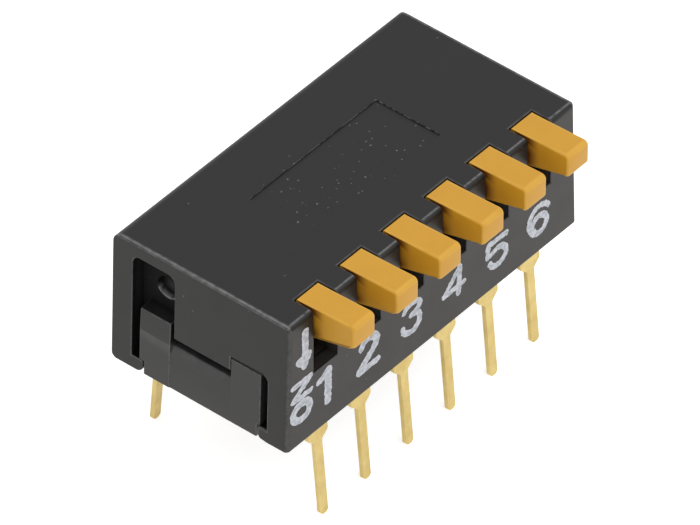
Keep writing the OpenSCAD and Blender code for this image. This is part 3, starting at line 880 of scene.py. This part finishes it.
def ink_piece(name, strokes, place, rng):
    """A closed skin of ink on the front face, with its signs drawn from place = (x, z).

    Grid cells whose middle lies inside the outline are kept. Corners on the rim of what is kept
    are moved along the distance's slope onto the outline. The front side is lifted by the ink's
    thickness, and the back side lies just inside the plastic.
    """
    everything = np.concatenate([points for points, pens in strokes])
    low, high = everything.min(axis=0) - INK_MARGIN, everything.max(axis=0) + INK_MARGIN
    steps = [np.arange(low[axis], high[axis], INK_STEP) for axis in range(2)]
    x, z = np.meshgrid(*steps, indexing="ij")
    distance = outline_distance(x, z, strokes) - INK_SPREAD + RAGGED * waviness(x, z, rng)
    middle = (distance[:-1, :-1] + distance[1:, :-1] + distance[:-1, 1:] + distance[1:, 1:]) / 4
    kept = np.pad(middle < 0, 1)
    around = kept[:-1, :-1].astype(int) + kept[1:, :-1] + kept[:-1, 1:] + kept[1:, 1:]
    used, rim = around > 0, (around > 0) & (around < 4)
    slope_x, slope_z = np.gradient(distance, INK_STEP)
    steep = np.maximum(slope_x ** 2 + slope_z ** 2, 0.25)
    x = np.where(rim, x - distance * slope_x / steep, x)
    z = np.where(rim, z - distance * slope_z / steep, z)
    depth = np.where(rim, 0, np.maximum(-distance, 0))
    swell = 1 + RIM_SWELL * np.exp(-((depth - INK_RIM) / RIM_WIDTH) ** 2)
    lift = INK_THICK * (1 - np.exp(-depth / INK_SLOPE)) * swell + INK_EDGE

    number = np.full(used.shape, -1)
    number[used] = np.arange(used.sum())
    total = int(used.sum())
    flat_x, flat_z = (x[used] + place[0]) * MM, (z[used] + place[1]) * MM
    outer = np.stack([flat_x, (FRONT_Y - lift[used]) * MM, flat_z], axis=1)
    inner = np.stack([flat_x, np.full(total, (FRONT_Y + INK_SUNK) * MM), flat_z], axis=1)

    cell = kept[1:-1, 1:-1]
    corner_a, corner_b = number[:-1, :-1], number[1:, :-1]
    corner_c, corner_d = number[1:, 1:], number[:-1, 1:]
    quads = np.stack([corner_a[cell], corner_b[cell], corner_c[cell], corner_d[cell]], axis=1)
    sides = []
    for shift, one, two in (
        (kept[1:-1, :-2], corner_a, corner_b), (kept[2:, 1:-1], corner_b, corner_c),
        (kept[1:-1, 2:], corner_c, corner_d), (kept[:-2, 1:-1], corner_d, corner_a),
    ):
        open_side = cell & ~shift
        start, stop = one[open_side], two[open_side]
        sides.append(np.stack([start, start + total, stop + total, stop], axis=1))
    faces = np.concatenate([quads, quads[:, ::-1] + total, *sides])

    mesh = bpy.data.meshes.new(name)
    mesh.from_pydata(np.concatenate([outer, inner]).tolist(), [], faces.tolist())
    store(mesh, "rim", np.tile(np.exp(-depth[used] / INK_RIM), 2))
    mesh.shade_smooth()
    mesh.set_sharp_from_angle(angle=math.radians(60))
    mesh.materials.append(legend_ink)
    piece = bpy.data.objects.new(name, mesh)
    scene.collection.objects.link(piece)
    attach(piece, "housing")
    print(name, len(faces), "faces")


# %% The signs
# Places are in millimetres: each digit stands on z = 0, about x = 0. ON reads from below upwards.
DIGITS = {
    1: [
        stroke((0.23, 0.18), (0.26, 1.72), pen=0.19),
        stroke((-0.31, 1.46), (-0.08, 1.54), (0.23, 1.74), pen=(0.13, 0.15, 0.18)),
    ],
    2: [
        stroke(
            (-0.38, 1.4), arc((0.08, 1.33), (0.45, 0.38), 155, -20),
            (0.22, 0.88), (-0.2, 0.54), (-0.46, 0.3), pen=(0.15, 0.17, 0.18),
        ),
        stroke((-0.46, 0.22), (0.63, 0.24), pen=(0.16, 0.13)),
    ],
    3: [
        stroke(arc((0.05, 1.42), (0.47, 0.28), 165, -65), pen=(0.13, 0.12, 0.14)),
        stroke((0.0, 1.12), (0.24, 1.14), pen=0.12),
        stroke(arc((0.01, 0.69), (0.51, 0.45), 62, -178, 24), pen=(0.13, 0.14, 0.12)),
    ],
    4: [
        stroke((0.32, 1.6), (0.27, 0.27), pen=(0.14, 0.12)),
        stroke((0.28, 1.6), (-0.6, 0.65), pen=0.12),
        stroke((-0.6, 0.63), (0.58, 0.67), pen=(0.12, 0.11)),
    ],
    5: [
        stroke((-0.52, 1.47), (0.56, 1.44), pen=(0.13, 0.12)),
        stroke((-0.53, 1.44), (-0.57, 0.86), pen=0.12),
        stroke((-0.54, 0.86), arc((0.05, 0.56), (0.49, 0.44), 125, -165, 24), pen=(0.11, 0.13, 0.14, 0.12)),
    ],
    6: [
        stroke(arc((-0.01, 0.79), (0.62, 0.65), 32, 235, 24), pen=(0.11, 0.13, 0.13)),
        stroke(arc((-0.03, 0.48), (0.46, 0.44), 0, 360, 32), pen=0.13),
    ],
}
ARROW = [
    stroke((0.04, 1.98), (0.03, 0.8), pen=(0.18, 0.17)),
    stroke((-0.39, 0.74), (0.28, 0.78), pen=(0.13, 0.12)),
    stroke((-0.26, 0.62), (0.18, 0.64), pen=0.16),
    stroke((-0.02, 0.6), (-0.01, 0.37), pen=(0.26, 0.19)),
]
ON = [
    stroke(arc((0.0, 0.52), (0.49, 0.4), 0, 360, 32), pen=0.16),
    stroke((-0.5, 1.27), (0.54, 1.25), pen=0.115),
    stroke((-0.45, 1.32), (0.45, 1.92), pen=0.125),
    stroke((-0.5, 1.96), (0.54, 1.99), pen=0.115),
]
print("signs ready:", len(DIGITS), "digits, an arrow and ON")

# %% Print them
LEGEND_PITCH = 2.574     # the pad's digits stand a little further apart than the keys
LEGEND_X = -0.05         # the middle of the row of digits
BASELINE = BOTTOM_Z + 0.94
DIGIT_HEIGHT = 0.965     # squeezes every digit to this share of its drawn height
ON_PLACE = (-END_X + 0.87, BOTTOM_Z + 1.09)
ARROW_PLACE = (-END_X + 1.07, BOTTOM_Z + 3.45)

rng = np.random.default_rng(6)
for digit, strokes in DIGITS.items():
    middle_x = LEGEND_X + (digit - (POLES + 1) / 2) * LEGEND_PITCH
    printed = [(points * (1, DIGIT_HEIGHT), pens) for points, pens in strokes]
    ink_piece(f"legend_{digit}", printed, (middle_x, BASELINE), rng)
ink_piece("legend_on", ON, ON_PLACE, rng)
ink_piece("legend_arrow", ARROW, ARROW_PLACE, rng)

# %% [markdown]
# ## Floor and light
# The switch stands on its pins on a white table. The floor is a plain matt white. To the camera it
# also glows a little, just enough to lift the lit table to pure white, so that the soft shadow
# under the pins still shows. In a mirroring surface it glows too, because the satin plastic and
# the plating show the table: warm and bright close to the block, and dimmer out past its end at
# pole 1. The light is a pale room with a large soft lamp above the front.

# %% Floor
FLOOR_Z = cad_box[0][2]
FLOOR_HALF = 0.6         # half the width of the table, in metres
SEEN_GLOW = 0.68         # the glow that the camera sees
NEAR_GLOW, FAR_GLOW = 0.58, 0.26
NEAR_X, FAR_X = -9 * MM, -15 * MM
WARM = (1.0, 0.95, 0.88, 1.0)

floor_mesh = bpy.data.meshes.new("floor")
ring = np.array([(-1, -1), (1, -1), (1, 1), (-1, 1)]) * FLOOR_HALF
floor_mesh.from_pydata(np.c_[ring, np.full(4, FLOOR_Z)].tolist(), [], [(0, 1, 2, 3)])
floor = bpy.data.objects.new("floor", floor_mesh)
scene.collection.objects.link(floor)

floor_white = bpy.data.materials.new("floor_white")
floor_white.use_nodes = True
tree = floor_white.node_tree
tree.nodes.clear()
matt = add(tree, "BsdfDiffuse", {"Color": grey(232)})
rays = add(tree, "LightPath").outputs
tint = blend_colours(tree, rays["Is Glossy Ray"], grey(255), WARM)
seen = calc(tree, "MULTIPLY", rays["Is Camera Ray"], SEEN_GLOW)
x = add(tree, "SeparateXYZ", {0: add(tree, "TexCoord").outputs["Object"]}).outputs["X"]
table = ramp(tree, x, FAR_X, NEAR_X, FAR_GLOW, NEAR_GLOW)
mirrored = calc(tree, "MULTIPLY", rays["Is Glossy Ray"], table)
glow = add(tree, "Emission", {"Color": tint, "Strength": calc(tree, "ADD", seen, mirrored)})
lit_and_glowing = add(tree, "AddShader", {0: matt.outputs[0], 1: glow.outputs[0]})
add(tree, "OutputMaterial", {"Surface": lit_and_glowing.outputs[0]})
floor_mesh.materials.append(floor_white)
print("floor at", round(FLOOR_Z / MM, 2), "mm")

# %% Light
ROOM = 0.8               # how bright the room is for everything but the camera, which sees white
world = bpy.data.worlds.new("room")
scene.world = world
world.use_nodes = True
tree = world.node_tree
tree.nodes.clear()
seen = add(tree, "LightPath").outputs["Is Camera Ray"]
level_of_light = calc(tree, "ADD", calc(tree, "MULTIPLY", seen, 1 - ROOM), ROOM)
sky = add(tree, "Background", {"Color": (1.0, 1.0, 1.0, 1.0), "Strength": level_of_light})
add(tree, "OutputWorld", {"Surface": sky.outputs[0]})


def soft_lamp(name, direction, distance, size, level):
    """A square lamp that faces the block. level is how bright a white face turned to it gets, from 0 to 1.

    A lamp of power P at distance d lights a facing surface with P / (pi d^2), and a white face
    looks as bright as white when that is pi, so P = level * pi^2 * d^2.
    """
    data = bpy.data.lights.new(name, "AREA")
    data.size = size
    data.energy = level * math.pi ** 2 * distance ** 2
    lamp = bpy.data.objects.new(name, data)
    aim = Vector(direction).normalized()
    lamp.location = aim * distance
    lamp.rotation_euler = aim.to_track_quat("Z", "Y").to_euler()
    scene.collection.objects.link(lamp)


soft_lamp("main_lamp", direction=(0.1, -0.55, 0.95), distance=0.35, size=0.3, level=0.27)

# %% [markdown]
# Standard view keeps the written colours.

scene.view_settings.view_transform = "Standard"
